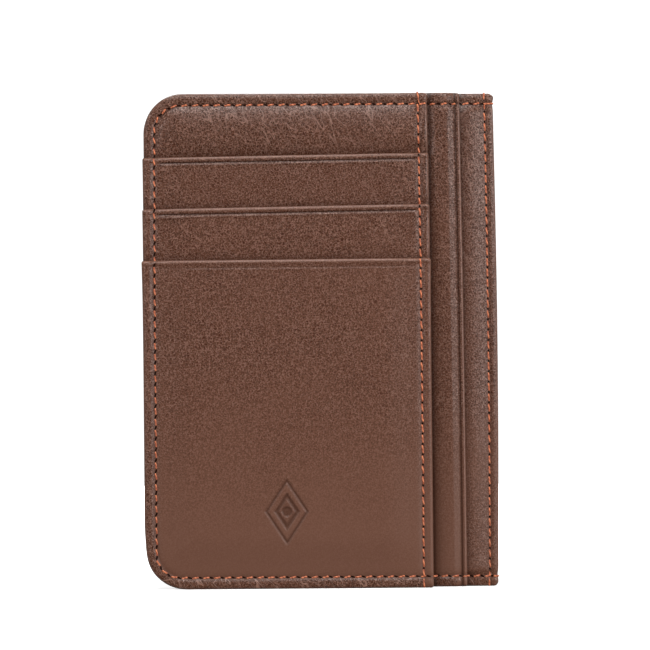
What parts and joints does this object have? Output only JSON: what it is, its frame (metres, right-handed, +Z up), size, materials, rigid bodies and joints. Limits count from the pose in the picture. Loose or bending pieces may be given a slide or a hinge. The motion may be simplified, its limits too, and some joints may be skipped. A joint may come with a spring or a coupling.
{
  "type": "card wallet",
  "caption": "Slim upright leather card wallet with stepped front pockets, side slots, turned edges and contrast stitching.",
  "frame": {"origin": "on the surface it stands on, under the middle of the whole outline and of its thickness", "axes": "+Z up its height, +X across it towards the edge where the side slots open, -Y out of the face with the card pockets"},
  "size_m": [0.08, 0.01, 0.112],
  "materials": {
    "leather": "pebble-grained brown leather, semi-gloss",
    "lining": "dark brown twill lining, matt",
    "thread": "waxed orange-tan sewing thread"
  },
  "bodies": {
    "root": {"back_panel": "leather", "back_panel_hem": "leather", "slip_panel": "leather", "slip_panel_hem": "leather", "slip_panel_top_flap": "leather", "slip_panel_left_flap": "leather", "slip_panel_bottom_flap": "leather", "base_panel": "leather", "base_panel_top_flap": "leather", "base_panel_left_flap": "leather", "base_panel_bottom_flap": "leather", "upper_pocket": "leather", "upper_pocket_left_flap": "leather", "upper_pocket_right_flap": "leather", "upper_pocket_bottom_flap": "leather", "middle_pocket": "leather", "middle_pocket_left_flap": "leather", "middle_pocket_right_flap": "leather", "middle_pocket_bottom_flap": "leather", "front_pocket": "leather", "front_pocket_left_flap": "leather", "front_pocket_right_flap": "leather", "front_pocket_bottom_flap": "leather", "back_panel_lining": "lining", "slip_panel_lining": "lining", "base_panel_lining": "lining", "upper_pocket_lining": "lining", "middle_pocket_lining": "lining", "front_pocket_lining": "lining", "upper_pocket_stop": "lining", "middle_pocket_stop": "lining", "perimeter_front_thread": "thread", "perimeter_back_thread": "thread", "card_seam_front_thread": "thread", "card_seam_back_thread": "thread", "hem_seam_front_thread": "thread", "hem_seam_back_thread": "thread"}
  },
  "joints": []
}
